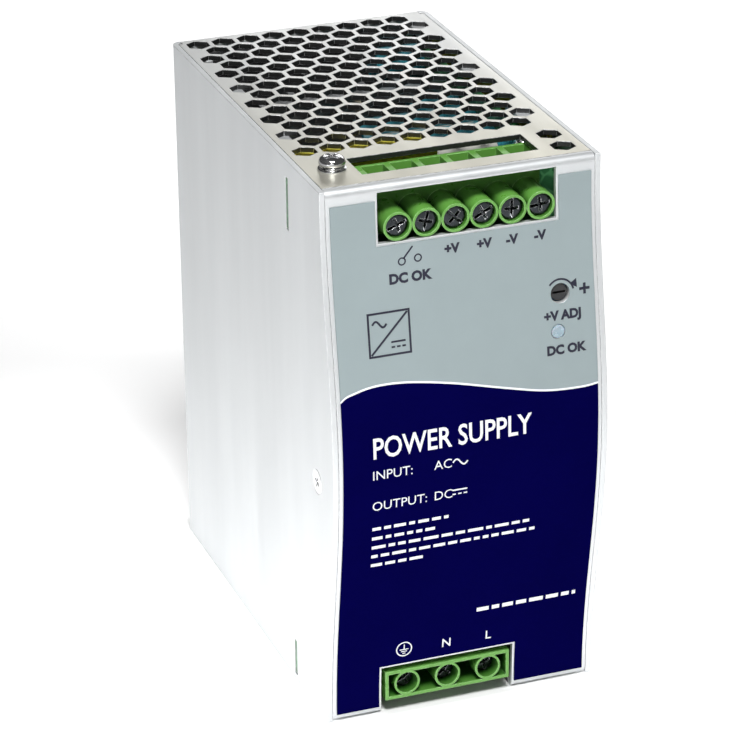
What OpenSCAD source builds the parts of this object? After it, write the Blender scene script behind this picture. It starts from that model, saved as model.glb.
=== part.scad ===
// Power supply that clips onto a 35 mm rail.
// +X is to the right of the front, -Y points out of the front, +Z is up.
// The origin is the middle of the base. Inside in_case(), Y is a depth behind the flat front plane.

/* [Case] */
// Width of the case
case_w = 63; // [62:0.5:66]
// Height of the case
case_h = 125.2; // [125:0.1:128]
// Depth of the case from the flat front plane to the back of the rear wall
case_d = 102.2; // [102:0.1:106]
// How far the middle of the front bulges forward
bulge = 6.3; // [3:0.1:7]
// Thickness of the sheet metal
sheet = 1.2; // [1:0.1:1.3]
// Thickness of the printed film on the front
film = 0.3; // [0.2:0.05:0.4]

/* [Rail mount] */
// Width of the rail that the hooks hold
rail_w = 35; // [34.5:0.1:35.2]
// Height of the rail's middle
rail_z = 59; // [58:0.5:60]
// How far the hooks stand out behind the rear wall
clip_d = 5; // [5:0.1:6]
// How far the sprung hook can be pulled down
latch_travel = 4.5; // [3.5:0.1:5]

/* [Terminals] */
// Distance between the output screws
output_pitch = 6.45; // [6.4:0.01:6.5]
// Distance between the input screws
input_pitch = 9.6; // [9.5:0.05:9.7]
// Middle of the output block
output_x = 1.65; // [1.4:0.05:1.7]
// Middle of the input block
input_x = -3.3; // [-3.4:0.05:-3.2]
// Height of the output screws
output_z = 115.55; // [115.4:0.05:115.7]
// Height of the input screws
input_z = 6.75; // [6.6:0.05:6.8]
// How far a wire clamp moves along its screw
clamp_travel = 1.9; // [1.5:0.1:2]

/* [Vents] */
// Width of a hexagonal vent across its flats
vent_w = 5; // [3:0.1:5.2]
// Distance between neighbouring vents
vent_pitch = 6.1; // [6:0.05:6.2]

/* [Boards] */
// Thickness of every circuit board
board_t = 1.6; // [1.2:0.1:1.6]

/* [Hidden] */
$fn = 48;
OUTPUTS = 6;
INPUTS = 3;

// The case
front_y = -(bulge + case_d + clip_d) / 2 + bulge;
wall_x = case_w / 2 - sheet;
inset_x = wall_x - 0.1;
bend_r = 1.6;
rear_bend_r = 2;
front_steps = 32;
flange_y = 2.4;
seam = 0.15;
return_y = 9;
tab_w = 8;
cover_z = case_h - sheet;
m3_r = 1.5;

// Openings of the front, as [left, bottom] and [right, top]
output_window = [[-18.9, 112.2], [21.3, case_h - bend_r - 0.1]];
input_window = [[-18.9, -1], [12.3, 11.4]];
window_rim = 0.5;
trimmer_at = [21.4, 95.8];
led_at = [20.5, 87.6];
label_x = 29.3;

// Screws of the case: [depth, height] on the sides, [x, depth] on the covers
side_screw_at = [4.6, 57.4];
cover_screw_at = [24.3, 12.3];

// Cut-outs of the covers over the wire entries
top_cut = [[-19.6, 7], [20.1, 17]];
bottom_cut = [[-18.9, 0], [12.3, 17]];
first_vent = [-26.2, 98.1];
row_step = vent_pitch * sin(60);

// The rail mount, behind the rear wall
bracket_t = 1.5;
bracket_x = 22;
bracket_z = [27, 92];
hook_t = 2.1;
hook_grip = 3;
latch_x = 9;
latch_gap = 0.1;
latch_low = 5.5;
spring_z = [14, 28];
spring_r = 1.6;
spring_wire_r = 0.25;
spring_turns = 8;
rail_low = rail_z - rail_w / 2;
rail_high = rail_z + rail_w / 2;
bracket_screw_at = [17, 32, 87];
retainer_screw_at = [12.4, 18];

// The boards
front_board_y = 20.2;
front_board_back = front_board_y + board_t;
control_y = 8;
main_x = 25;
standoff_x = main_x + board_t;
standoff_y = [27, 96];
standoff_z = [7, 118];
tab_reach = case_w / 2 - 0.15;
liner_x = wall_x - 0.55;
flap_x = [-28, 3];
flap_z = [113.5, 122.6, 123];
first_tab_y = 30;
flap_back = first_tab_y - 0.2;

// A screw terminal, along its own axis
tower_y = -0.2;
head_h = 2;
head_gap = 0.5;
shank_r = 1.45;
body_y = 8.6;
chamber_y = 9.4;
cage_half_h = 2.3;
cage_wall = 0.65;
cage_front = 1.2;
cage_window = 3;
cage_len = 4.9;
chamber_end = chamber_y + cage_len + clamp_travel + 0.2;
cage_y = chamber_end - 0.1 - cage_len;
bar_y = cage_y + cage_front + 0.1;
bar_t = 0.7;
entry_y = [10.4, 15.2];
entry_wall = 0.8;
roof_h = 3.6;
floor_h = 4.9;
pin_h = [3, 3.8];

// Each block: [pitch, count, half width of a clamp, radius of a tower, radius of its well, height of the entry,
// depth of a screw's head]
OUTPUT = [output_pitch, OUTPUTS, 2.4, 3.2, 2.65, 8.05, 0.6];
INPUT = [input_pitch, INPUTS, 3.1, 3, 2.5, 4.2, 2.6];

// The front is a chain of flat strips between knots, so that film and metal share the same steps
function knot(k) = bend_r + (case_h - 2 * bend_r) * k / front_steps;
function bulge_at(k) = -bulge * pow(sin(180 * k / front_steps), 2);
function front_at(z) = let (k = (z - bend_r) * front_steps / (case_h - 2 * bend_r), low = floor(k))
    k <= 0 || k >= front_steps ? 0 : bulge_at(low) + (k - low) * (bulge_at(low + 1) - bulge_at(low));
function between(z, z0, z1) = z > min(z0, z1) + 0.01 && z < max(z0, z1) - 0.01;
function front_curve(inset, z0, z1) = concat(
    [[front_at(z0) + inset, z0]],
    [for (k = z0 < z1 ? [0:front_steps] : [front_steps:-1:0])
        if (between(knot(k), z0, z1)) [bulge_at(k) + inset, knot(k)]],
    [[front_at(z1) + inset, z1]]);
function pole_x(block, i) = (i - (block[1] - 1) / 2) * block[0];

// Helpers
module in_case() translate([0, front_y, 0]) children();
module block(a, b) translate(a) cube(b - a);
module along_x(x0, x1, y, z) translate([x0, y, z]) rotate([90, 0, 90]) linear_extrude(x1 - x0) children();
module rod_x(r, x0, x1, y, z) translate([x0, y, z]) rotate([0, 90, 0]) cylinder(r = r, h = x1 - x0);
module rod_y(r, y0, y1, x, z) translate([x, y0, z]) rotate([-90, 0, 0]) cylinder(r = r, h = y1 - y0);
module rod_z(r, z0, z1, x, y) translate([x, y, z0]) cylinder(r = r, h = z1 - z0);
module both_sides() {
    children();
    mirror([1, 0, 0]) children();
}
module front_sheet(inset, t, z0, z1)
    polygon(concat(front_curve(inset, z0, z1), front_curve(inset + t, z1, z0)));
module behind_front(inset, back, z0, z1)
    polygon(concat(front_curve(inset, z0, z1), [[back, z1], [back, z0]]));
module window(w, grow, y0, y1)
    block([w[0].x - grow, y0, w[0].y - grow], [w[1].x + grow, y1, w[1].y + grow]);
module cross(r, depth) for (a = [0, 90]) rotate(a) block([-r, -0.3, 0], [r, 0.3, depth]);

// Case
module side_wall_with_tabs() {
    along_x(-case_w / 2, -wall_x, 0, 0) behind_front(film, case_d - rear_bend_r, 0, case_h);
    for (y = [first_tab_y, 62, 90], z = [sheet, case_h - 2 * sheet])
        block([-wall_x - sheet / 2, y, z], [-wall_x + 5, y + tab_w, z + sheet]);
    translate([-case_w / 2 + rear_bend_r, case_d - rear_bend_r, 0]) linear_extrude(case_h) rear_corner();
}
module rear_corner() intersection() {
    difference() {
        circle(rear_bend_r);
        circle(rear_bend_r - sheet);
    }
    translate([-rear_bend_r, 0]) square(rear_bend_r);
}
module board_slits() for (z = [[1.5, 10.2], [109.3, 121.3]])
    block([-case_w, front_board_y - 0.1, z[0]], [case_w, front_board_back + 0.1, z[1]]);
module chassis() color("gainsboro") in_case() difference() {
    union() {
        both_sides() side_wall_with_tabs();
        block([-case_w / 2 + rear_bend_r, case_d - sheet, 0], [case_w / 2 - rear_bend_r, case_d, case_h]);
    }
    board_slits();
    for (z = [-1, cover_z - 0.1])
        block([-wall_x + 0.9, case_d - sheet - 1, z], [wall_x - 0.9, case_d + 1, z + sheet + 1.1]);
    both_sides() translate([-case_w / 2, side_screw_at.x, side_screw_at.y]) rotate([0, 90, 0])
        cylinder(r1 = 2.9, r2 = 1.7, h = sheet);
    both_sides() for (z = [bracket_screw_at[1], bracket_screw_at[2]])
        rod_y(m3_r, case_d - 2, case_d + 1, bracket_screw_at[0], z);
    both_sides() rod_y(m3_r, case_d - 2, case_d + 1, retainer_screw_at.x, retainer_screw_at.y);
}

module panel_bend() {
    intersection() {
        difference() {
            circle(bend_r);
            circle(bend_r - sheet);
        }
        translate([-bend_r, 0]) square(bend_r);
    }
    translate([0, bend_r - sheet]) square([flange_y - film - bend_r, sheet]);
}
module panel_profile() {
    front_sheet(film, sheet, bend_r, case_h - bend_r);
    translate([film + bend_r, case_h - bend_r]) panel_bend();
    translate([film + bend_r, bend_r]) mirror([0, 1]) panel_bend();
}
module screw_tab(z) difference() {
    block([cover_screw_at.x - 4, film + sheet / 2, z], [cover_screw_at.x + 4.2, cover_screw_at.y + 4.2, z + sheet]);
    rod_z(m3_r, z - 1, z + sheet + 1, cover_screw_at.x, cover_screw_at.y);
}
module front_panel() color("whitesmoke") in_case() difference() {
    union() {
        along_x(-inset_x, inset_x, 0, 0) panel_profile();
        both_sides() along_x(-inset_x, -inset_x + sheet, 0, 0)
            behind_front(film + sheet / 2, return_y, 2 * sheet + 0.2, case_h - 2 * sheet - 0.2);
        mirror([1, 0, 0]) screw_tab(case_h - 2 * sheet);
        both_sides() screw_tab(sheet);
    }
    window(output_window, 0, -bulge, flange_y);
    window(input_window, 0, -bulge, flange_y + 1);
    rod_y(2.2, -bulge, 2, trimmer_at.x, trimmer_at.y);
    rod_y(1.6, -bulge, 2, led_at.x, led_at.y);
    rod_x(m3_r, -case_w, case_w, side_screw_at.x, side_screw_at.y);
}
module front_label() color("slategray") in_case() difference() {
    along_x(-label_x, label_x, 0, 0) front_sheet(0, film, bend_r + 0.1, 121.7);
    window(output_window, window_rim, -bulge, 2);
    window(input_window, window_rim, -bulge, 2);
    rod_y(2.2, -bulge - 1, 2, trimmer_at.x, trimmer_at.y);
    rod_y(1.6, -bulge - 1, 2, led_at.x, led_at.y);
}

module vents(z, rows) for (j = [0:rows - 1], k = [0:8])
    translate([first_vent.x + (k + (j % 2) / 2) * vent_pitch, first_vent.y - j * row_step, z])
        vent();
module vent() rotate(30) cylinder(r = vent_w / 2 / cos(30), h = 3 * sheet, $fn = 6);
module cover(z) {
    block([-inset_x, flange_y + seam, z], [inset_x, case_d - rear_bend_r, z + sheet]);
    block([-wall_x + 1, case_d - rear_bend_r - 1, z], [wall_x - 1, case_d - 0.2, z + sheet]);
}
module top_cover() color("lightgray") in_case() difference() {
    cover(cover_z);
    block([top_cut[0].x, top_cut[0].y, cover_z - 1], [top_cut[1].x, top_cut[1].y, case_h + 1]);
    vents(cover_z - 1, 15);
    for (y = [7.3, 14.8])
        translate([25.8, y, cover_z - 1]) vent();
    rod_z(m3_r + 0.1, cover_z - 1, case_h + 1, -cover_screw_at.x, cover_screw_at.y);
}
module bottom_cover() color("lightgray") in_case() difference() {
    cover(0);
    block([bottom_cut[0].x, bottom_cut[0].y, -1], [bottom_cut[1].x, bottom_cut[1].y, sheet + 1]);
    vents(-1, 12);
    both_sides() translate([cover_screw_at.x, cover_screw_at.y, 0])
        cylinder(r1 = 2.9, r2 = m3_r + 0.1, h = sheet);
}

// Countersunk screw that points along +Z, with its head's face at z = 0
module flat_screw(length) difference() {
    union() {
        cylinder(r1 = 2.8, r2 = m3_r - 0.05, h = sheet);
        cylinder(r = m3_r - 0.05, h = length);
    }
    translate([0, 0, -1]) cross(1.4, 1.8);
}
// Pan head screw that points along -Z, with the underside of its head at z = 0
module pan_screw(head_r, height, length) difference() {
    union() {
        cylinder(r = head_r, h = height);
        translate([0, 0, -length]) cylinder(r = m3_r - 0.05, h = length + 0.1);
    }
    translate([0, 0, height / 2]) cross(head_r * 0.6, height);
}
module side_screws() color("silver") in_case() both_sides()
    translate([-case_w / 2, side_screw_at.x, side_screw_at.y]) rotate([0, 90, 0]) flat_screw(4.5);
module top_screw() color("silver") in_case()
    translate([-cover_screw_at.x, cover_screw_at.y, case_h]) pan_screw(3.1, 3.2, 6);
module bottom_screws() color("silver") in_case() both_sides()
    translate([cover_screw_at.x, cover_screw_at.y, 0]) flat_screw(5);

// Rail mount
// A hook around one edge of the rail, as [depth, height] from the bracket's face and the rail's edge
module hook_outline(clear) polygon([
    [-bracket_t, 0], [0, clear], [clip_d - bracket_t - hook_t, clear],
    [clip_d - bracket_t - hook_t, -hook_grip + 0.6], [clip_d - bracket_t - hook_t + 0.8, -hook_grip],
    [clip_d - bracket_t, -hook_grip], [clip_d - bracket_t, clear + 3], [-bracket_t, clear + 3]]);
module rail_bracket() color("darkgray") in_case() difference() {
    union() {
        block([-bracket_x, case_d, bracket_z[0]], [bracket_x, case_d + bracket_t, bracket_z[1]]);
        both_sides() along_x(11, 19, case_d + bracket_t, rail_high) hook_outline(0.5);
    }
    block([-latch_x - latch_gap, case_d - 1, 0], [latch_x + latch_gap, case_d + clip_d, rail_low + 9]);
    both_sides() for (z = [bracket_screw_at[1], bracket_screw_at[2]])
        rod_y(m3_r + 0.1, case_d - 1, case_d + 5, bracket_screw_at[0], z);
}
module bracket_screws() color("silver") in_case() both_sides() {
    for (z = [bracket_screw_at[1], bracket_screw_at[2]])
        translate([bracket_screw_at[0], case_d + bracket_t, z]) rotate([-90, 0, 0]) pan_screw(2.7, 1.6, 4.5);
    translate([retainer_screw_at.x, case_d + bracket_t + sheet, retainer_screw_at.y])
        rotate([-90, 0, 0]) pan_screw(2.4, 1.6, 5.5);
}
module rail_latch() color("silver") in_case() difference() {
    union() {
        block([-latch_x, case_d + latch_gap, latch_low], [latch_x, case_d + bracket_t - latch_gap, rail_low + 3]);
        along_x(-latch_x + 1, latch_x - 1, case_d + bracket_t, rail_low) mirror([0, 1]) latch_hook_outline();
        block([-2, case_d + bracket_t - 0.5, spring_z[1]], [2, case_d + clip_d - 0.8, spring_z[1] + sheet]);
        block([-latch_x, case_d + bracket_t - 0.5, latch_low], [latch_x, case_d + clip_d - 1.5, latch_low + sheet]);
    }
    block([-2.3, case_d - 1, spring_z[0] - 1], [2.3, case_d + bracket_t, spring_z[1]]);
    block([-3, case_d - 1, latch_low + sheet + 1], [3, case_d + bracket_t, latch_low + sheet + 3]);
}
module latch_hook_outline() polygon([
    [-0.5, 0.3], [clip_d - bracket_t - hook_t, 0.3],
    [clip_d - bracket_t - hook_t, -hook_grip + 1.2], [clip_d - bracket_t - hook_t + 1.2, -hook_grip],
    [clip_d - bracket_t, -hook_grip], [clip_d - bracket_t, 3.5], [-0.5, 3.5]]);
module latch_retainer() color("darkgray") in_case() difference() {
    union() {
        both_sides() block([latch_x + 0.3, case_d, 10], [16, case_d + bracket_t, 24]);
        both_sides() block([latch_x - 1.5, case_d + bracket_t, 10], [16, case_d + bracket_t + sheet, 24]);
        block([-latch_x, case_d + bracket_t, 10], [latch_x, case_d + bracket_t + sheet, spring_z[0]]);
        block([-2, case_d + bracket_t, spring_z[0] - sheet], [2, case_d + clip_d - 0.8, spring_z[0]]);
    }
    both_sides() rod_y(m3_r + 0.1, case_d - 1, case_d + 5, retainer_screw_at.x, retainer_screw_at.y);
}
// A round wire swept along a helix: rings of points, joined by quads and closed by two end caps
module helix(radius, wire_r, height, turns, per_turn = 14, sides = 6) {
    rings = turns * per_turn;
    points = [for (i = [0:rings], s = [0:sides - 1])
        let (a = 360 * i / per_turn, b = 360 * s / sides, r = radius + wire_r * cos(b))
            [r * cos(a), r * sin(a), wire_r + (height - 2 * wire_r) * i / rings + wire_r * sin(b)]];
    quads = [for (i = [0:rings - 1], s = [0:sides - 1]) let (n = (s + 1) % sides)
        [i * sides + s, i * sides + n, (i + 1) * sides + n, (i + 1) * sides + s]];
    caps = [[for (s = [sides - 1:-1:0]) s], [for (s = [0:sides - 1]) rings * sides + s]];
    polyhedron(points, concat(quads, caps));
}
module latch_spring() color("silver") in_case()
    translate([0, case_d + bracket_t + 0.9, spring_z[0]])
        helix(spring_r, spring_wire_r, spring_z[1] - spring_z[0], spring_turns);

// Boards
module standoffs_at() for (y = standoff_y, z = standoff_z) translate([0, y, z]) children();
module main_board() color("darkgreen") in_case() difference() {
    block([main_x, 24, 4], [main_x + board_t, 99, 121]);
    standoffs_at() rod_x(m3_r + 0.1, main_x - 1, main_x + 3, 0, 0);
}
module tabbed_board(z0, z1, tab_z0, tab_z1) {
    block([-inset_x + 0.4, front_board_y, z0], [inset_x - 0.4, front_board_back, z1]);
    block([-tab_reach, front_board_y, tab_z0], [tab_reach, front_board_back, tab_z1]);
}
module pin_holes(block, x, z, up) for (i = [0:block[1] - 1]) translate([x + pole_x(block, i), 0, z])
    block([-0.6, front_board_y - 1, up * 3.4 - 0.5], [0.6, front_board_back + 1, up * 3.4 + 0.5]);
module output_board() color("darkgreen") in_case() difference() {
    tabbed_board(86, 121.2, 109.6, 121);
    pin_holes(OUTPUT, output_x, output_z, -1);
}
module input_board() color("darkgreen") in_case() difference() {
    tabbed_board(1.7, 34, 1.8, 9.9);
    pin_holes(INPUT, input_x, input_z, 1);
}
module control_board() color("darkgreen") in_case()
    block([12, control_y, 80], [28.5, control_y + board_t, 104]);
module board_headers() color("dimgray") in_case() {
    for (z = [[98, 114], [12, 24]])
        block([19.5, front_board_back, z[0]], [main_x, 26, z[1]]);
    block([14, control_y + board_t, 100], [27, front_board_y, 103]);
}
module insulation_sheets() color("gold") in_case() {
    difference() {
        block([liner_x, 23, 3], [liner_x + 0.4, 99.5, 122]);
        standoffs_at() rod_x(3.4, liner_x - 1, liner_x + 2, 0, 0);
    }
    block([flap_x[0], front_board_back, flap_z[1]], [flap_x[1], flap_back, flap_z[2]]);
    block([flap_x[0], front_board_back, flap_z[0]], [flap_x[1], front_board_back + 0.4, flap_z[1]]);
}
module board_standoffs() color("silver") in_case() standoffs_at() difference() {
    translate([standoff_x, 0, 0]) rotate([0, 90, 0]) cylinder(r = 3.1, h = wall_x - standoff_x, $fn = 6);
    rod_x(m3_r, standoff_x - 1, wall_x - 0.6, 0, 0);
}
module board_screws() color("silver") in_case() standoffs_at()
    translate([main_x, 0, 0]) rotate([0, -90, 0]) pan_screw(2.7, 1.8, 4.5);

// Screw terminals: the screw lies along Y, the clamp slides on it, and the wire comes in from +Z
module poles(block) for (i = [0:block[1] - 1]) translate([pole_x(block, i), 0, 0]) children();
module pole_cavity(block) {
    half = block[2] + 0.1;
    rod_y(block[4], tower_y - 1, block[6] + head_h + head_gap, 0, 0);
    rod_y(shank_r + 0.15, tower_y, chamber_y + 1, 0, 0);
    block([-half, chamber_y, -cage_half_h - 0.1], [half, chamber_end, cage_half_h + 0.1]);
    block([-half, entry_y[0], 0], [half, entry_y[1], block[5] + 1]);
    block([-block[2] + cage_wall - 0.05, bar_y - 0.1, -pin_h[1] - 0.1],
          [block[2] - cage_wall + 0.05, bar_y + bar_t + 0.1, 0]);
    block([-0.6, bar_y, -pin_h[1] - 0.1], [0.6, front_board_y + 1, -pin_h[0] + 0.1]);
}
module terminal_housing(block, left, right) difference() {
    union() {
        block([left, body_y, -floor_h], [right, front_board_y, roof_h]);
        block([left, body_y, 0], [right, entry_y[1] + entry_wall, block[5]]);
        poles(block) rod_y(block[3], tower_y, body_y + 0.5, 0, 0);
        children();
    }
    poles(block) pole_cavity(block);
}
module contacts(block) poles(block) {
    half = block[2] - cage_wall - 0.1;
    block([-half, bar_y, -pin_h[1]], [half, bar_y + bar_t, cage_half_h]);
    block([-0.5, bar_y, -pin_h[1]], [0.5, front_board_back + 1, -pin_h[0]]);
}
module clamp(block) difference() {
    block([-block[2], cage_y, -cage_half_h], [block[2], cage_y + cage_len, cage_half_h]);
    block([-block[2] + cage_wall, cage_y + cage_front, -5],
          [block[2] - cage_wall, cage_y + cage_front + cage_window, 5]);
    rod_y(shank_r + 0.05, cage_y - 1, cage_y + cage_front + 1, 0, 0);
}
module clamp_screw(head_r, head_y) difference() {
    union() {
        rod_y(head_r, head_y, head_y + head_h, 0, 0);
        rod_y(shank_r, head_y, bar_y - 0.05, 0, 0);
    }
    translate([0, head_y - 1, 0]) rotate([-90, 0, 0]) cross(head_r * 0.75, 2.1);
}
module at_output() in_case() translate([output_x, 0, output_z]) children();
module at_input() in_case() translate([input_x, 0, input_z]) mirror([0, 0, 1]) children();
// The input block's face is a thin frame around its towers
module face_frame(x0, x1, z0, z1, wall) difference() {
    block([x0, tower_y, z0], [x1, body_y + 0.5, z1]);
    block([x0 + wall, tower_y - 1, z0 + wall], [x1 - wall, body_y, z1 - wall]);
}
module output_terminal_housing() color("limegreen") at_output() terminal_housing(OUTPUT, -20.25, 19.45);
module input_terminal_housing() color("limegreen") at_input()
    terminal_housing(INPUT, -14.7, 14.7) face_frame(-14.7, 14.7, -3.4, 3.6, 0.75);
module output_contacts() color("gold") at_output() contacts(OUTPUT);
module input_contacts() color("gold") at_input() contacts(INPUT);
module output_screw(i) color("dimgray") at_output() translate([pole_x(OUTPUT, i), 0, 0])
    clamp_screw(2.45, OUTPUT[6]);
module input_screw(i) color("dimgray") at_input() translate([pole_x(INPUT, i), 0, 0])
    clamp_screw(2.3, INPUT[6]);
module output_clamp(i) color("silver") at_output() translate([pole_x(OUTPUT, i), 0, 0]) clamp(OUTPUT);
module input_clamp(i) color("silver") at_input() translate([pole_x(INPUT, i), 0, 0]) clamp(INPUT);

// Front controls
module trimmer_body() color("royalblue") in_case() translate([trimmer_at.x, 0, trimmer_at.y]) difference() {
    block([-3.3, 0.8, -3.3], [3.3, control_y, 3.3]);
    rod_y(1.95, 0, 2, 0, 0);
}
module trimmer_rotor() color("black") in_case() translate([trimmer_at.x, 0, trimmer_at.y]) difference() {
    rod_y(1.9, -1.9, 1.95, 0, 0);
    block([-1.5, -2.5, -0.3], [1.5, -1.1, 0.3]);
}
module status_led() color("lightsteelblue") in_case() translate([led_at.x, 0, led_at.y]) {
    rod_y(1.5, -4, 5, 0, 0);
    rod_y(1.9, 5, 6, 0, 0);
    for (x = [-1.27, 0.77])
        block([x, 5.5, -0.25], [x + 0.5, control_y, 0.25]);
}

// Power parts, standing on the main board and pointing to -X
core_at = [4, 48, 62];
module transformer_core() color("dimgray") in_case() translate(core_at) difference() {
    block([-7.5, -21, -21], [7.5, 21, 21]);
    both_ends_y() block([-8, 6.5, -15], [8, 15, 15]);
}
module both_ends_y() {
    children();
    mirror([0, 1, 0]) children();
}
module transformer_bobbin() color("black") in_case() translate(core_at) difference() {
    union() {
        block([-9.2, -8.2, -14.9], [9.2, 8.2, 14.9]);
        for (z = [-14.9, 13.5])
            block([-14, -14.8, z], [main_x - core_at.x, 14.8, z + 1.4]);
    }
    block([-7.6, -6.6, -16], [7.6, 6.6, 16]);
}
module transformer_winding() color("gold") in_case() translate(core_at) difference() {
    block([-13, -14.2, -13.4], [13, 14.2, 13.4]);
    block([-9.3, -8.3, -14], [9.3, 8.3, 14]);
}
module lying_can(r, x0, y, z) {
    rod_x(r, x0, main_x, y, z);
}
module bulk_capacitors() color("midnightblue") in_case() for (y = [62, 86]) lying_can(11, -15, y, 16.6);
module output_capacitors() color("steelblue") in_case() for (y = [34, 45, 56]) lying_can(5, -3, y, 113);
module ring_core(outer, inner, x0, x1, y, z) translate([x0, y, z]) rotate([0, 90, 0]) difference() {
    cylinder(r = outer, h = x1 - x0);
    translate([0, 0, -1]) cylinder(r = inner, h = x1 - x0 + 2);
}
module output_choke() color("peru") in_case() ring_core(12, 5, 12, main_x, 50, 95.6);
module emi_choke() color("peru") in_case() ring_core(11, 5, 11, main_x, 38.6, 17.2);
module x_capacitors() color("goldenrod") in_case() for (y = [28, 50])
    block([9, y, 29.4], [main_x, y + 17, 39.4]);
module bridge_rectifier() color("dimgray") in_case() block([-18, 70.3, 33], [2, 74, 55]);
module finned_plate(y, fins_to, z0, z1) {
    block([-20, y, z0], [main_x - 0.5, y + 3, z1]);
    for (x = [-20:8.6:23])
        block([x, y + 2, z0], [x + 1.5, fins_to, z1]);
}
module primary_heatsink() color("silver") in_case() finned_plate(74, 84, 30, 70);
module secondary_heatsink() color("silver") in_case() finned_plate(72, 82, 80, 118);
module power_transistors() color("dimgray") in_case() {
    for (z = [33, 52]) block([4, 69.7, z], [20, 74, z + 15]);
    for (z = [84, 102]) block([4, 67.7, z], [20, 72, z + 15]);
}
module fuse() color("white") in_case() {
    rod_x(2.6, -22, -2, 25.4, 22);
    for (x = [-22.4, -7]) block([x, front_board_back, 20.6], [x + 5.4, 24, 23.4]);
}
module dc_ok_relay() color("white") in_case() block([9.5, 27, 85], [main_x, 37, 97]);

chassis();
front_panel();
front_label();
top_cover();
bottom_cover();
side_screws();
top_screw();
bottom_screws();
rail_bracket();
bracket_screws();
rail_latch();
latch_spring();
latch_retainer();
main_board();
output_board();
input_board();
control_board();
board_headers();
insulation_sheets();
board_standoffs();
board_screws();
output_terminal_housing();
output_contacts();
for (i = [1:OUTPUTS]) {
    output_screw(i - 1);
    output_clamp(i - 1);
}
input_terminal_housing();
input_contacts();
for (i = [1:INPUTS]) {
    input_screw(i - 1);
    input_clamp(i - 1);
}
trimmer_body();
trimmer_rotor();
status_led();
transformer_core();
transformer_bobbin();
transformer_winding();
bulk_capacitors();
output_capacitors();
output_choke();
emi_choke();
x_capacitors();
bridge_rectifier();
primary_heatsink();
secondary_heatsink();
power_transistors();
fuse();
dc_ok_relay();
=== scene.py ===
import math
import random

import bmesh
import bpy
from mathutils import Matrix, Vector
from mathutils.geometry import delaunay_2d_cdt


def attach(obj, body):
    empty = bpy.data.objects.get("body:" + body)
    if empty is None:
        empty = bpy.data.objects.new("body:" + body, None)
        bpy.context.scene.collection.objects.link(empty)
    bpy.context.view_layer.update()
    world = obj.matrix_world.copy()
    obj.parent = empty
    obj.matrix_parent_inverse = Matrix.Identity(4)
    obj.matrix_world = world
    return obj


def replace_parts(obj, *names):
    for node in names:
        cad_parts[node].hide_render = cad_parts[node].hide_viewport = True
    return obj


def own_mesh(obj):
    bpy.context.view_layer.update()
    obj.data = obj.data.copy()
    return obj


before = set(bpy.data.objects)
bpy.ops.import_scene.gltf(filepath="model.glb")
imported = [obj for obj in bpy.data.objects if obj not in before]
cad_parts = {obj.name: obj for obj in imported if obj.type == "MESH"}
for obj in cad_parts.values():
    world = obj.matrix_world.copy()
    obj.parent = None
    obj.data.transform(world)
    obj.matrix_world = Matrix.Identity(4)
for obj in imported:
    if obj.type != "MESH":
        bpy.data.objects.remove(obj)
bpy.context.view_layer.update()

MM = 0.001

# The case, in millimetres. A depth is measured behind the flat front plane.
CASE_W = 63.0
CASE_H = 125.2
CASE_D = 102.2
BULGE = 6.3
CLIP_D = 5.0
# The whole is centred between the bulge and the back of the rail clip
FRONT_Y = BULGE - (BULGE + CASE_D + CLIP_D) / 2
BEND_R = 1.6
LABEL_X = 29.3
LABEL_LOW = 1.7
LABEL_HIGH = 121.7
OUTPUT_WINDOW = (-19.4, 21.8, 111.7)
INPUT_WINDOW = (-19.4, 12.8, 11.9)
TRIMMER = (21.4, 95.8)
LAMP = (20.5, 87.6)

# Terminals
OUTPUT_X = 1.65
OUTPUT_Z = 115.55
OUTPUT_PITCH = 6.45
INPUT_X = -3.3
INPUT_Z = 6.75
INPUT_PITCH = 9.6

MAIN_X = 25.0

random.seed(7)
Z_AXIS = Vector((0, 0, 1))


def front_at(z):
    """Depth of the label's outer face at a height. The CAD follows this curve in 32 flat strips."""
    t = (z - BEND_R) / (CASE_H - 2 * BEND_R)
    return 0.0 if t <= 0 or t >= 1 else -BULGE * math.sin(math.pi * t) ** 2


def at(x, depth, z):
    return Vector((x, depth + FRONT_Y, z)) * MM


# ---------------------------------------------------------------- materials
def node(tree, kind, **inputs):
    made = tree.nodes.new(kind)
    for key, value in inputs.items():
        made.inputs[key.replace("_", " ")].default_value = value
    return made


def place(tree, stretch=(1, 1, 1)):
    """Object coordinates in metres, stretched along an axis for rolled or moulded grain."""
    coords = tree.nodes.new("ShaderNodeTexCoord")
    mapping = tree.nodes.new("ShaderNodeMapping")
    mapping.inputs["Scale"].default_value = stretch
    tree.links.new(coords.outputs["Object"], mapping.inputs["Vector"])
    return mapping.outputs["Vector"]


def noise(tree, where, scale, detail=4.0, roughness=0.55):
    made = node(tree, "ShaderNodeTexNoise", Scale=scale, Detail=detail, Roughness=roughness)
    tree.links.new(where, made.inputs["Vector"])
    return made.outputs["Fac"]


def spread(tree, value, low, high, from_low=0.35, from_high=0.65):
    """A noise value rescaled to run from low to high."""
    made = tree.nodes.new("ShaderNodeMapRange")
    made.inputs["From Min"].default_value = from_low
    made.inputs["From Max"].default_value = from_high
    made.inputs["To Min"].default_value = low
    made.inputs["To Max"].default_value = high
    tree.links.new(value, made.inputs["Value"])
    return made.outputs["Result"]


def mix(tree, factor, first, second, blend="MIX"):
    """Two colours mixed by a factor. A colour is a socket or three numbers."""
    made = tree.nodes.new("ShaderNodeMix")
    made.data_type = "RGBA"
    made.blend_type = blend
    for socket, value in ((made.inputs[6], first), (made.inputs[7], second)):
        if hasattr(value, "is_output"):
            tree.links.new(value, socket)
        else:
            socket.default_value = (*value, 1)
    tree.links.new(factor, made.inputs[0])
    return made.outputs[2]


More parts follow.
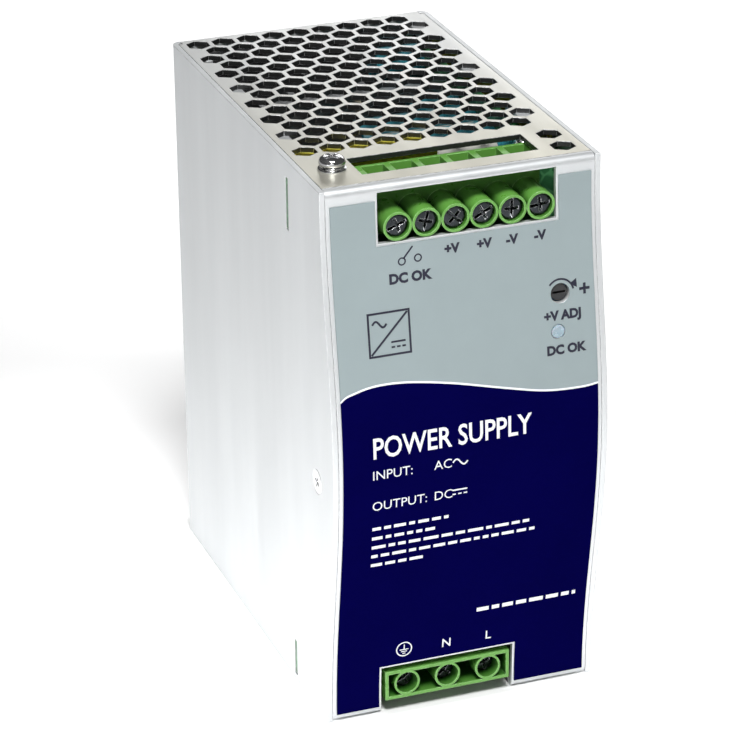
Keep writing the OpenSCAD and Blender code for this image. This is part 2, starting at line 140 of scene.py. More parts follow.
def maths(tree, operation, *values):
    """The result of a math node on one or two sockets."""
    made = tree.nodes.new("ShaderNodeMath")
    made.operation = operation
    for value, socket in zip(values, made.inputs):
        tree.links.new(value, socket)
    return made.outputs[0]


def parts_of(tree, vector):
    """The X, Y and Z sockets of a vector."""
    split = tree.nodes.new("ShaderNodeSeparateXYZ")
    tree.links.new(vector, split.inputs[0])
    return split.outputs


def edge_mask(tree, radius, low=0.9):
    """1 along convex and concave edges narrower than the radius, 0 on flat ground."""
    bevel = node(tree, "ShaderNodeBevel", Radius=radius)
    bevel.samples = 6
    ground = tree.nodes.new("ShaderNodeNewGeometry")
    dot = tree.nodes.new("ShaderNodeVectorMath")
    dot.operation = "DOT_PRODUCT"
    tree.links.new(bevel.outputs["Normal"], dot.inputs[0])
    tree.links.new(ground.outputs["Normal"], dot.inputs[1])
    return bevel.outputs["Normal"], spread(tree, dot.outputs["Value"], 1.0, 0.0, low, 0.995)


def material(name, colour, roughness, metallic=0.0, vary=0.1, grain=60.0, stretch=(1, 1, 1),
             rough_vary=0.08, bump=0.15, bump_scale=1800.0, depth=0.00006, edge=0.00025,
             wear_and_highlight=None, tint=None, coat=0.0, subsurface=0.0, transmission=0.0,
             specular=0.5, base=None):
    """A surface with colour drift, uneven gloss, fine relief, rounded edges, and lighter edges that are
    partly wear and partly a painted highlight.
    """
    made = bpy.data.materials.new(name)
    made.use_nodes = True
    tree = made.node_tree
    shader = tree.nodes["Principled BSDF"]
    where = place(tree, stretch)
    drift = noise(tree, where, grain)
    fine = noise(tree, where, bump_scale, 3.0)
    dark = [c * (1 - vary) for c in colour]
    light = [min(1.0, c * (1 + vary)) for c in colour]
    painted = mix(tree, spread(tree, drift, 0, 1), dark, light)
    if base:
        painted = base(tree, painted)
    if tint:
        patches = spread(tree, noise(tree, place(tree), tint[1], 3.0), 0, tint[2], 0.45, 0.7)
        painted = mix(tree, patches, painted, tint[0])
    rounded, mask = edge_mask(tree, edge)
    # Lighter edges: partly wear, partly a painted highlight on rims and edges, broken up in patches
    if wear_and_highlight:
        scuffs_and_glints = spread(tree, noise(tree, place(tree), 900.0), 0.2, 1.0, 0.4, 0.6)
        painted = mix(tree, maths(tree, "MULTIPLY", mask, scuffs_and_glints), painted, wear_and_highlight)
    tree.links.new(painted, shader.inputs["Base Color"])
    gloss = spread(tree, noise(tree, where, grain * 3.1), max(0.03, roughness - rough_vary),
                   min(1.0, roughness + rough_vary))
    tree.links.new(gloss, shader.inputs["Roughness"])
    relief = node(tree, "ShaderNodeBump", Strength=bump, Distance=depth)
    tree.links.new(fine, relief.inputs["Height"])
    tree.links.new(rounded, relief.inputs["Normal"])
    tree.links.new(relief.outputs["Normal"], shader.inputs["Normal"])
    shader.inputs["Metallic"].default_value = metallic
    shader.inputs["Coat Weight"].default_value = coat
    shader.inputs["Coat Roughness"].default_value = 0.12
    shader.inputs["Subsurface Weight"].default_value = subsurface
    shader.inputs["Subsurface Scale"].default_value = 0.001
    shader.inputs["Transmission Weight"].default_value = transmission
    shader.inputs["Specular IOR Level"].default_value = specular
    made.diffuse_color = (*colour, 1)
    return made


def painted_front_reflection(tree, painted):
    """Painted reflection: the sheet turns straw-coloured towards the front edge, standing in for the beige
    reflection on the cover's near part.
    """
    near = spread(tree, parts_of(tree, place(tree))["Y"], 0.9, 0.0, -0.052, 0.03)
    return mix(tree, near, painted, (0.62, 0.60, 0.50))


def painted_hole_shade(tree, painted):
    """Painted shade: upright faces such as punched hole walls and edges are darkened nearly to black for the
    shade in the vents and seams, beside some real darkening of the rough sheared walls.
    """
    ground = tree.nodes.new("ShaderNodeNewGeometry")
    upright = maths(tree, "ABSOLUTE", parts_of(tree, ground.outputs["True Normal"])["Z"])
    return mix(tree, spread(tree, upright, 1.0, 0.0, 0.3, 0.6), painted, (0.05, 0.05, 0.05))


def cover_look(tree, painted):
    return painted_hole_shade(tree, painted_front_reflection(tree, painted))


# Where the wells end and the wire entries begin, in metres along Y; the painted shade stops there
ENTRY_START = (-0.0412, -0.0405)
PAINTED_SHADE_GREEN = (0.012, 0.075, 0.006)


def painted_recess_shade(tree, painted):
    """Painted shade: the moulded green darkens by ambient occlusion in wells and between towers, but not in
    the wire entries behind them.
    """
    open_share = node(tree, "ShaderNodeAmbientOcclusion", Distance=0.007)
    open_share.samples = 6
    lit = spread(tree, open_share.outputs["AO"], 0.0, 1.0, 0.15, 0.7)
    entries = spread(tree, parts_of(tree, place(tree))["Y"], 0.0, 1.0, *ENTRY_START)
    return mix(tree, maths(tree, "MAXIMUM", lit, entries), PAINTED_SHADE_GREEN, painted)


def board_tracks(tree, painted):
    """Copper tracks that show through the solder mask as lighter green."""
    where = place(tree)
    cells = node(tree, "ShaderNodeTexVoronoi", Scale=260.0)
    cells.feature = "DISTANCE_TO_EDGE"
    cells.distance = "CHEBYCHEV"
    tree.links.new(where, cells.inputs["Vector"])
    lines = spread(tree, cells.outputs["Distance"], 1.0, 0.0, 0.04, 0.09)
    return mix(tree, lines, painted, (0.07, 0.26, 0.10))


SHEET = dict(vary=0.035, grain=45.0, stretch=(1, 1, 0.12), bump=0.12, bump_scale=1500.0,
             wear_and_highlight=(0.93, 0.94, 0.95), rough_vary=0.05)
SLOTS = {
    "bare_sheet": material("bare_sheet", (0.70, 0.72, 0.73), 0.45, 0.6, **SHEET),
    "front_film": material("film_grey", (0.285, 0.34, 0.35), 0.6, vary=0.02, bump=0.05, specular=0.15),
    "bright_screw": material("bright_screw", (0.72, 0.72, 0.73), 0.16, 1.0, vary=0.05, grain=200.0,
                             bump=0.1, wear_and_highlight=(0.95, 0.95, 0.96)),
    "zinc_steel": material("zinc_steel", (0.60, 0.62, 0.64), 0.34, 1.0, grain=90.0,
                           stretch=(1, 1, 0.3), tint=((0.62, 0.58, 0.44), 70.0, 0.5),
                           wear_and_highlight=(0.85, 0.86, 0.87)),
    "circuit_board": material("circuit_board", (0.025, 0.13, 0.045), 0.36, grain=120.0, coat=0.3,
                              base=board_tracks, wear_and_highlight=(0.35, 0.38, 0.22)),
    "black_plastic": material("black_plastic", (0.022, 0.022, 0.024), 0.45, grain=150.0, bump=0.3,
                              wear_and_highlight=(0.07, 0.07, 0.07)),
    "yellow_film": material("yellow_film", (0.80, 0.72, 0.08), 0.38, vary=0.06, coat=0.3,
                            wear_and_highlight=(0.9, 0.85, 0.35)),
    # The terminal green carries painted shade in its recesses and a painted highlight on its rims
    "terminal_plastic": material("terminal_plastic", (0.12, 0.33, 0.055), 0.34, vary=0.06,
                                 grain=120.0, bump=0.12, bump_scale=2600.0, base=painted_recess_shade,
                                 wear_and_highlight=(0.33, 0.62, 0.24), edge=0.0003),
    "contact_metal": material("contact_metal", (0.70, 0.64, 0.46), 0.3, 1.0, grain=200.0),
    "dark_screw": material("dark_screw", (0.045, 0.05, 0.055), 0.27, 1.0, grain=300.0,
                           wear_and_highlight=(0.75, 0.76, 0.78), edge=0.0002),
    "clamp_steel": material("clamp_steel", (0.60, 0.60, 0.58), 0.36, 1.0, grain=200.0,
                            wear_and_highlight=(0.85, 0.85, 0.84)),
    "blue_plastic": material("blue_plastic", (0.05, 0.15, 0.45), 0.4, grain=200.0,
                             wear_and_highlight=(0.2, 0.33, 0.62)),
    "lamp_lens": material("lamp_lens", (0.40, 0.52, 0.60), 0.25, grain=300.0, subsurface=0.3,
                          coat=0.2, transmission=0.2),
    "ferrite": material("ferrite", (0.055, 0.055, 0.06), 0.62, grain=300.0, bump=0.5,
                        wear_and_highlight=(0.13, 0.13, 0.135)),
    "can_sleeve": material("can_sleeve", (0.02, 0.035, 0.10), 0.3, grain=120.0, coat=0.4),
    "copper_winding": material("copper_winding", (0.55, 0.22, 0.07), 0.3, 0.9, grain=400.0,
                               coat=0.5),
    "grey_plastic": material("grey_plastic", (0.46, 0.46, 0.42), 0.45, grain=200.0, bump=0.2),
    "heatsink_metal": material("heatsink_metal", (0.62, 0.63, 0.64), 0.38, 1.0, grain=90.0,
                               stretch=(1, 1, 0.05), wear_and_highlight=(0.85, 0.85, 0.86)),
    "fuse_ceramic": material("fuse_ceramic", (0.80, 0.79, 0.74), 0.3, grain=200.0, coat=0.3),
}
COVER = material("cover_sheet", (0.66, 0.67, 0.66), 0.38, 0.7, base=cover_look,
                 **{**SHEET, "stretch": (1, 0.12, 1)})
PAINT = {
    "grey": SLOTS["front_film"],
    "blue": material("film_blue", (0.0012, 0.0008, 0.045), 0.5, vary=0.05, bump=0.05, specular=0.0),
    "white": material("ink_white", (0.86, 0.88, 0.90), 0.5, vary=0.03, bump=0.05),
    "dark": material("ink_dark", (0.012, 0.012, 0.03), 0.5, vary=0.1, bump=0.05),
}


def dress(obj, finish):
    """Every material slot of a CAD object takes one finish."""
    if not obj.data.materials:
        obj.data.materials.append(finish)
    for s in obj.material_slots:
        s.link = "OBJECT"
        s.material = finish


for name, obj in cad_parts.items():
    packed = obj.data.materials[0].name.split(".")[0] if obj.data.materials else "bare_sheet"
    dress(obj, SLOTS.get(packed, SLOTS["bare_sheet"]))
for name in ("top_cover", "bottom_cover"):
    dress(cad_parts[name], COVER)


# ------------------------------------------------------------ mesh helpers
def piece(name, vertices, faces, finishes, body="case", which=None, smooth=False):
    """A mesh piece from points in metres, riding on a body."""
    mesh = bpy.data.meshes.new(name)
    mesh.from_pydata([tuple(v) for v in vertices], [], faces)
    for finish in finishes:
        mesh.materials.append(finish)
    if which:
        for polygon, index in zip(mesh.polygons, which):
            polygon.material_index = index
    for polygon in mesh.polygons:
        polygon.use_smooth = smooth
    mesh.update()
    made = bpy.data.objects.new(name, mesh)
    bpy.context.scene.collection.objects.link(made)
    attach(made, body)
    return made


# ------------------------------------------------------------- front label
# The line between the grey and the blue, as [x, z]
WAVE = [(-34, 74.0), (-29.3, 79.8), (-26.1, 81.3), (-21, 82.2), (-14, 81.9), (-4, 80.1),
        (8, 77.1), (17, 75.1), (25, 74.6), (29.3, 74.95), (34, 75.6)]
WAVE_LINE = 0.45


def smooth_line(points, steps):
    """Catmull-Rom curve through the points, without the two ends."""
    found = []
    for i in range(1, len(points) - 2):
        p0, p1, p2, p3 = (Vector(p) for p in points[i - 1:i + 3])
        for k in range(steps):
            t = k / steps
            found.append(0.5 * (2 * p1 + (p2 - p0) * t + (2 * p0 - 5 * p1 + 4 * p2 - p3) * t * t
                                + (3 * p1 - p0 - 3 * p2 + p3) * t ** 3))
    found.append(Vector(points[-2]))
    return found


def wave_at(line, x):
    for a, b in zip(line, line[1:]):
        if a.x <= x <= b.x:
            return a.y + (b.y - a.y) * (x - a.x) / max(1e-9, b.x - a.x)
    return line[0].y if x < line[0].x else line[-1].y


def ring(x, z, r, count):
    return [Vector((x + r * math.cos(2 * math.pi * k / count), z + r * math.sin(2 * math.pi * k / count)))
            for k in range(count)]


def build_label():
    wave = smooth_line(WAVE, 6)
    points, edges = [], []

    def chain(line, closed):
        first = len(points)
        points.extend(line)
        count = len(line)
        edges.extend((first + k, first + (k + 1) % count) for k in range(count if closed else count - 1))

    rows = 60
    heights = [LABEL_LOW + (LABEL_HIGH - LABEL_LOW) * k / rows for k in range(rows + 1)]
    for z in heights:
        chain([Vector((-LABEL_X, z)), Vector((LABEL_X, z))], False)
    for x in (-LABEL_X, LABEL_X):
        chain([Vector((x, LABEL_LOW)), Vector((x, LABEL_HIGH))], False)
    left, right, low = OUTPUT_WINDOW
    chain([Vector(p) for p in ((left, LABEL_HIGH), (left, low), (right, low), (right, LABEL_HIGH))], False)
    left, right, high = INPUT_WINDOW
    chain([Vector(p) for p in ((left, LABEL_LOW), (left, high), (right, high), (right, LABEL_LOW))], False)
    for shift in (-WAVE_LINE / 2, WAVE_LINE / 2):
        chain([p + Vector((0, shift)) for p in wave], False)
    chain(ring(*TRIMMER, 2.2, 40), True)
    chain(ring(*LAMP, 1.6, 32), True)
    verts, _, faces, *_ = delaunay_2d_cdt(points, edges, [], 0, 1e-5)
    kept, which = [], []
    for face in faces:
        x = sum(verts[i].x for i in face) / len(face)
        z = sum(verts[i].y for i in face) / len(face)
        in_output = OUTPUT_WINDOW[0] < x < OUTPUT_WINDOW[1] and z > OUTPUT_WINDOW[2]
        in_input = INPUT_WINDOW[0] < x < INPUT_WINDOW[1] and z < INPUT_WINDOW[2]
        in_hole = (math.hypot(x - TRIMMER[0], z - TRIMMER[1]) < 2.2 * 0.995
                   or math.hypot(x - LAMP[0], z - LAMP[1]) < 1.6 * 0.995)
        outside = abs(x) > LABEL_X or not LABEL_LOW < z < LABEL_HIGH
        if in_output or in_input or in_hole or outside:
            continue
        gap = z - wave_at(wave, x)
        index = 0 if gap > WAVE_LINE / 2 else 1 if gap < -WAVE_LINE / 2 else 2
        kept.append(tuple(face))
        which.append(index)
    used = sorted({i for f in kept for i in f})
    slot_of = {v: k for k, v in enumerate(used)}
    flat = [verts[i] for i in used]
    label = piece("label_film", [at(p.x, front_at(p.y) + 0.05, p.y) for p in flat],
                  [[slot_of[i] for i in f] for f in kept],
                  [PAINT["grey"], PAINT["blue"], PAINT["white"]], which=which)
    bm = bmesh.new()
    bm.from_mesh(label.data)
    bmesh.ops.recalc_face_normals(bm, faces=bm.faces)
    if sum(f.normal.y for f in bm.faces) > 0:
        bmesh.ops.reverse_faces(bm, faces=bm.faces)
    bm.to_mesh(label.data)
    bm.free()
    solid = label.modifiers.new("film", "SOLIDIFY")
    solid.thickness = 0.22 * MM
    solid.offset = -1
    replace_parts(label, "front_label")


build_label()

# ---------------------------------------------------------------- printing
INK = 0.02


class Print:
    """Printed shapes of one colour, gathered flat as (x, z) and bent onto the label as one piece."""

    def __init__(self):
        self.points = []
        self.faces = []

    def add(self, points, faces):
        first = len(self.points)
        self.points.extend(points)
        self.faces.extend([first + i for i in f] for f in faces)

    def bar(self, x0, x1, z0, z1):
        self.add([(x0, z0), (x1, z0), (x1, z1), (x0, z1)], [(0, 1, 2, 3)])

    def stroke(self, line, width, closed=False):
        """A line of constant width along the points."""
        line = [Vector(p) for p in line]
        count = len(line)
        sides = []
        for k, p in enumerate(line):
            before = line[k - 1] if k or closed else p
            after = line[(k + 1) % count] if k < count - 1 or closed else p
            along = (after - before).normalized()
            across = Vector((-along.y, along.x)) * width / 2
            sides += [p - across, p + across]
        faces = []
        for k in range(count if closed else count - 1):
            n = (k + 1) % count
            faces.append((2 * k, 2 * n, 2 * n + 1, 2 * k + 1))
        self.add([tuple(p) for p in sides], faces)

    def words(self, text, x, z, height, width=None, align="LEFT", weight=0.0, spacing=1.0):
        """Lettering with the given height of its capitals; width stretches it to fit."""
        curve = bpy.data.curves.new("words", "FONT")
        curve.body = text
        curve.align_x = align
        curve.offset = weight
        curve.space_character = spacing
        curve.resolution_u = 3
        holder = bpy.data.objects.new("words", curve)
        bpy.context.scene.collection.objects.link(holder)
        bpy.context.view_layer.update()
        made = holder.to_mesh()
        capital = 0.69
        scale = height / capital
        points = [(v.co.x * scale, v.co.y * scale) for v in made.vertices]
        faces = [tuple(p.vertices) for p in made.polygons]
        if width:
            extent = max(p[0] for p in points) - min(p[0] for p in points)
            points = [(p[0] * width / extent, p[1]) for p in points]
        holder.to_mesh_clear()
        bpy.data.objects.remove(holder)
        bpy.data.curves.remove(curve)
        self.add([(x + p[0], z + p[1]) for p in points], faces)

    def build(self, name, finish):
        made = piece(name, [at(x, front_at(z) + INK, z) for x, z in self.points], self.faces, [finish])
        solid = made.modifiers.new("ink", "SOLIDIFY")
        solid.thickness = 0.04 * MM
        solid.offset = -1
        return made


dark = Print()
white = Print()

for x, text in ((-2.7, "+V"), (4.6, "+V"), (10.9, "-V"), (17.3, "-V")):
    dark.words(text, x, 108.2, 1.9, align="CENTER", weight=0.05)
dark.words("DC OK", -12.3, 103.4, 2.0, align="CENTER", weight=0.05)
dark.words("+V ADJ", 21.7, 90.2, 1.9, align="CENTER", weight=0.05)
dark.words("DC OK", 22.1, 82.7, 1.9, align="CENTER", weight=0.05)
for x, z in ((-13.9, 107.9), (-10.3, 108.2)):
    dark.stroke([tuple(p) for p in ring(x, z, 0.75, 20)], 0.3, closed=True)
dark.stroke([(-13.4, 108.6), (-11.4, 110.9)], 0.35)

# An arrow that turns round the trimmer, and a plus sign
arc = [(TRIMMER[0] + 3.1 * math.cos(math.radians(a)), TRIMMER[1] + 3.1 * math.sin(math.radians(a)))
       for a in range(140, 10, -8)]
dark.stroke(arc, 0.4)
dark.add([(23.6, 97.6), (25.3, 96.6), (25.2, 98.6)], [(0, 1, 2)])
dark.bar(25.8, 28.2, 95.85, 96.45)
dark.bar(26.7, 27.3, 94.95, 97.35)

white.words("POWER SUPPLY", -22.8, 66.0, 4.6, width=36.3, weight=0.015)
white.words("INPUT:", -22.9, 61.0, 2.1)
white.words("AC", -8.8, 61.0, 2.1)
white.words("OUTPUT:", -22.9, 53.6, 2.1)
white.words("DC", -8.8, 53.6, 2.1)
sine = [(-4.5 + 3.4 * k / 16, 62.0 + 0.7 * math.sin(2 * math.pi * k / 16)) for k in range(17)]
white.stroke(sine, 0.35)
white.bar(-4.5, -1.1, 55.1, 55.45)
for x in (-4.5, -3.2, -1.9):
    white.bar(x, x + 0.8, 54.1, 54.45)


def rule_line(ink, x, z, length, height):
    """Small print is shown as short blank bars, with no letters."""
    end = x + length
    while x < end:
        word = random.uniform(1.2, 3.6)
        ink.bar(x, min(x + word, end), z, z + height)
        x += word + 0.7


for z, length in ((48.6, 17.5), (46.2, 15), (43.9, 37), (41.6, 38), (39.3, 12)):
    rule_line(white, -22.7, z, length, 0.75)
rule_line(white, 3.0, 22.0, 23.6, 1.0)

# The usual converter sign: a square cut by a diagonal, alternating current over direct current
SIGN_X, SIGN_Z, SIGN_SIZE, SIGN_LINE = -22.4, 88.2, 9.6, 0.45
sign_right, sign_top = SIGN_X + SIGN_SIZE, SIGN_Z + SIGN_SIZE
for x in (SIGN_X, sign_right - SIGN_LINE):
    dark.bar(x, x + SIGN_LINE, SIGN_Z, sign_top)
for z in (SIGN_Z, sign_top - SIGN_LINE):
    dark.bar(SIGN_X + SIGN_LINE, sign_right - SIGN_LINE, z, z + SIGN_LINE)
dark.stroke([(SIGN_X + 0.6, SIGN_Z + 0.6), (sign_right - 0.6, sign_top - 0.6)], SIGN_LINE)
dark.stroke([(SIGN_X + 1.1 + 3.2 * k / 16, SIGN_Z + 7.0 + 0.7 * math.sin(2 * math.pi * k / 16))
             for k in range(17)], SIGN_LINE)
dark.bar(SIGN_X + 5.1, SIGN_X + 8.3, SIGN_Z + 2.7, SIGN_Z + 3.1)
for x in (5.1, 6.3, 7.5):
    dark.bar(SIGN_X + x, SIGN_X + x + 0.8, SIGN_Z + 1.6, SIGN_Z + 2.0)

# Earth, N and L over the input terminals
white.stroke([tuple(p) for p in ring(-13.8, 15.6, 1.75, 28)], 0.28, closed=True)
white.bar(-13.93, -13.67, 15.6, 16.8)
for z, half in ((15.5, 1.05), (15.0, 0.7), (14.5, 0.35)):
    white.bar(-13.8 - half, -13.8 + half, z - 0.12, z + 0.12)
white.words("N", -3.8, 14.2, 2.1, align="CENTER", weight=0.01)
white.words("L", 6.1, 14.2, 2.1, align="CENTER", weight=0.01)

dark.build("label_print_dark", PAINT["dark"])
white.build("label_print_white", PAINT["white"])

# ------------------------------------------------------------ shape makers
def flat_ring(r, count, z=0.0):
    return [Vector((r * math.cos(2 * math.pi * k / count), r * math.sin(2 * math.pi * k / count), z))
            for k in range(count)]


class Shape:
    """Points in millimetres and faces, gathered in a local frame that points out along +Z."""

    def __init__(self):
        self.points = []
        self.faces = []

    def add(self, points, faces):
        first = len(self.points)
        self.points.extend(Vector(p) for p in points)
        self.faces.extend([first + i for i in f] for f in faces)
        return self

    def turned(self, profile, steps=40):
        """A profile of [radius, z] turned about Z. A radius of 0 closes the end."""
        rings, points, faces = [], [], []
        for r, z in profile:
            first = len(points)
            points += flat_ring(r, steps, z) if r > 0 else [Vector((0, 0, z))]
            rings.append(range(first, len(points)))
        for a, b in zip(rings, rings[1:]):
            for k in range(steps):
                n = (k + 1) % steps
                face = [a[k % len(a)], a[n % len(a)], b[n % len(b)], b[k % len(b)]]
                faces.append([v for i, v in enumerate(face) if v not in face[:i]])
        return self.add(points, faces)

    def recessed(self, r, z, dome, outline, depth, taper=0.6, steps=40):
        """A domed round top with a recess whose walls close in towards its floor."""
        cut = [Vector(p) for p in outline]
        flat, edges = [], []
        for line in [[v.xy for v in flat_ring(r * share, steps)] for share in (1.0, 0.9, 0.72)] + [cut]:
            first = len(flat)
            flat += line
            edges += [(first + k, first + (k + 1) % len(line)) for k in range(len(line))]
        verts, _, faces, *_ = delaunay_2d_cdt(flat, edges, [], 0, 1e-6)

        def inside(p):
            odd = False
            for a, b in zip(cut, cut[1:] + cut[:1]):
                if (a.y > p.y) != (b.y > p.y) and p.x < (b.x - a.x) * (p.y - a.y) / (b.y - a.y) + a.x:
                    odd = not odd
            return odd

        def lifted(p):
            return Vector((p.x, p.y, z + dome * (1 - (p.length / r) ** 2)))

        kept = [f for f in faces if not inside(sum((verts[i] for i in f), Vector((0, 0))) / len(f))
                and (sum((verts[i] for i in f), Vector((0, 0))) / len(f)).length < r]
        self.add([lifted(p) for p in verts], kept)
        rim = [lifted(p) for p in cut]
        floor_ring = [Vector((p.x * taper, p.y * taper, z + dome - depth)) for p in cut]
        count = len(cut)
        walls = [(k, (k + 1) % count, count + (k + 1) % count, count + k) for k in range(count)]
        return self.add(rim + floor_ring, walls + [tuple(range(count, 2 * count))])

    def box(self, low, high, chamfer=0.0):
        """A box with chamfered edges."""
        bm = bmesh.new()
        made = bmesh.ops.create_cube(bm, size=1.0)
        size = Vector(high) - Vector(low)
        bmesh.ops.scale(bm, vec=size, verts=made["verts"])
        bmesh.ops.translate(bm, vec=(Vector(low) + Vector(high)) / 2, verts=made["verts"])
        if chamfer:
            bmesh.ops.bevel(bm, geom=bm.edges[:], offset=chamfer, segments=2, profile=0.5, affect="EDGES")
        bm.verts.index_update()
        self.add([v.co.copy() for v in bm.verts], [[v.index for v in f.verts] for f in bm.faces])
        bm.free()
        return self

    def tube(self, line, r, sides=8, closed=False):
        """A round wire along the points."""
        line = [Vector(p) for p in line]
        count = len(line)
        normal = None
        points = []
        for k, p in enumerate(line):
            before = line[k - 1] if k or closed else p
            after = line[(k + 1) % count] if k < count - 1 or closed else p
            along = (after - before).normalized()
            if normal is None:
                normal = along.orthogonal().normalized()
            normal = (normal - along * normal.dot(along)).normalized()
            side = along.cross(normal)
            points += [p + (normal * math.cos(a) + side * math.sin(a)) * r
                       for a in (2 * math.pi * s / sides for s in range(sides))]
        faces = []
        for k in range(count if closed else count - 1):
            n = (k + 1) % count
            faces += [(k * sides + s, k * sides + (s + 1) % sides, n * sides + (s + 1) % sides, n * sides + s)
                      for s in range(sides)]
        if not closed:
            faces += [tuple(reversed(range(sides))), tuple(range((count - 1) * sides, count * sides))]
        return self.add(points, faces)

    def moved(self, matrix):
        self.points = [matrix @ p for p in self.points]
        return self

    def join(self, other, matrix=None):
        points = [matrix @ p for p in other.points] if matrix else other.points
        return self.add(points, other.faces)

    def build(self, name, finish, slot, body="case", smooth=35.0):
        """Welded, with outward normals, and smooth where the surface turns by less than smooth degrees."""
        made = piece(name, [p * MM for p in self.points], self.faces, [finish], body)
        bm = bmesh.new()
        bm.from_mesh(made.data)
        bmesh.ops.remove_doubles(bm, verts=bm.verts, dist=1e-7)
        bmesh.ops.dissolve_degenerate(bm, dist=1e-8, edges=bm.edges)
        bmesh.ops.recalc_face_normals(bm, faces=bm.faces)
        for face in bm.faces:
            face.smooth = True
        for edge in bm.edges:
            edge.smooth = len(edge.link_faces) == 2 and edge.calc_face_angle(0) < math.radians(smooth)
        bm.to_mesh(made.data)
        bm.free()
        return made


def facing(x, depth, z, outward, spin=0.0):
    """The frame of a part at a place, in millimetres, whose local +Z points outward."""
    turn = Vector(outward).to_track_quat("Z", "Y").to_matrix().to_4x4()
    return Matrix.Translation((x, depth + FRONT_Y, z)) @ turn @ Matrix.Rotation(spin, 4, "Z")


def cross_outline(long_arm, short_arm, half):
    """A cross recess: both arms are 2 * half wide."""
    quarter = [(long_arm, -half), (long_arm, half), (half, half), (half, short_arm), (-half, short_arm),
               (-half, half)]
    return quarter + [(-x, -y) for x, y in quarter]


def thread(r, top, bottom, pitch=0.5, depth=0.22):
    """Ridges of a screw thread, as a profile that runs down."""
    ridges = []
    z = top
    while z - pitch > bottom:
        ridges += [(r, z), (r - depth, z - pitch / 2)]
        z -= pitch
    return ridges + [(r, z), (r - depth, bottom), (0, bottom)]


def screw(head, shank_r, length, recess, depth, dome=0.0):
    """A screw from its head's profile, whose first point is the rim of the top face."""
    made = Shape()
    made.turned([*head, (shank_r, head[-1][1])] + thread(shank_r, head[-1][1] - 0.3, -length))
    made.recessed(head[0][0], head[0][1], dome, recess, depth)
    return made


def pan_head(r, h):
    return [(r * 0.72, h * 0.93), (r * 0.9, h * 0.72), (r * 0.985, h * 0.42), (r, h * 0.12), (r * 0.97, 0.0)]


def cheese_head(r, h):
    return [(r - 0.22, h), (r - 0.07, h - 0.07), (r, h - 0.24), (r, 0.1), (r - 0.1, 0.0)]


# ------------------------------------------------------------------ screws
def terminal_screws(label, count, x, pitch, z, r, head_y, shank_end):
    for i in range(count):
        made = screw(cheese_head(r, 2.0), 1.45, shank_end - head_y - 2.0,
                     cross_outline(r * 0.92, r * 0.66, 0.34), 1.05, 0.12)
        middle = x + (i - (count - 1) / 2) * pitch
        where = facing(middle, head_y + 2.0, z, (0, -1, 0), random.uniform(0, math.pi))
        name = f"{label}_screw_{i + 1}"
        made.moved(where)
        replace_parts(made.build(name + "_head", SLOTS["dark_screw"], "dark_screw", name), name)


SHANK_END = 12.65
terminal_screws("output", 6, OUTPUT_X, OUTPUT_PITCH, OUTPUT_Z, r=2.45, head_y=0.6, shank_end=SHANK_END)
terminal_screws("input", 3, INPUT_X, INPUT_PITCH, INPUT_Z, r=2.3, head_y=2.6, shank_end=SHANK_END)

# The earth screw on the cover carries a flat washer and a split spring washer
TOP = CASE_H
earth = Shape()
earth.turned([(1.75, 0.5), (2.9, 0.5), (3.05, 0.42), (3.1, 0.3), (3.1, 0.0), (1.75, 0.0), (1.75, 0.5)])
split_ring = [(2.35 * math.cos(a), 2.35 * math.sin(a), 0.68 + 0.32 * a / (2 * math.pi))
              for a in (2 * math.pi * k / 36 for k in range(1, 36))]
earth.tube(split_ring, 0.36, 8)
WASHERS = 1.25
SCREW_R = 1.4
head = screw([(r, z + WASHERS) for r, z in pan_head(2.85, 1.75)], SCREW_R, 5.5,
             cross_outline(1.75, 1.75, 0.36), depth=1.3, dome=0.18)
earth.join(head)
earth.moved(facing(-24.3, 12.3, TOP, (0, 0, 1), 0.5))
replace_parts(earth.build("earth_screw", SLOTS["bright_screw"], "bright_screw"), "top_screw")


def flat_head(r):
    return [(r - 0.12, 0.0), (r, -0.12), (1.5, -1.2)]


def fixed_screws(name, slot_name, places, head_profile, shank_r, length, recess, depth, dome=0.0):
    """Screws that stay put, built as one piece that stands for a CAD node."""
    gathered = Shape()
    for x, depth_y, z, outward in places:
        gathered.join(screw(head_profile, shank_r, length, recess, depth, dome),
                      facing(x, depth_y, z, outward, random.uniform(0, math.pi)))
    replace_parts(gathered.build(name + "_turned", SLOTS[slot_name], slot_name), name)


small_cross = cross_outline(1.35, 1.35, 0.3)
fixed_screws("side_screws", "bright_screw",
             [(s * CASE_W / 2, 4.6, 57.4, (s, 0, 0)) for s in (-1, 1)],
             flat_head(2.78), SCREW_R, 4.4, small_cross, depth=0.9)
fixed_screws("bottom_screws", "bright_screw",
             [(s * 24.3, 12.3, 0.0, (0, 0, -1)) for s in (-1, 1)],
             flat_head(2.78), SCREW_R, 4.9, small_cross, depth=0.9)
BRACKET_FACE = CASE_D + 1.5
fixed_screws("bracket_screws", "bright_screw",
             [(s * 17, BRACKET_FACE, z, (0, 1, 0)) for s in (-1, 1) for z in (32, 87)]
             + [(s * 12.4, BRACKET_FACE + 1.2, 18, (0, 1, 0)) for s in (-1, 1)],
             pan_head(2.5, 1.5), SCREW_R, 4.2, small_cross, depth=1.0, dome=0.12)
fixed_screws("board_screws", "bright_screw",
             [(MAIN_X, y, z, (-1, 0, 0)) for y in (27, 96) for z in (7, 118)],
             pan_head(2.65, 1.7), SCREW_R, 4.4, small_cross, depth=1.0, dome=0.12)

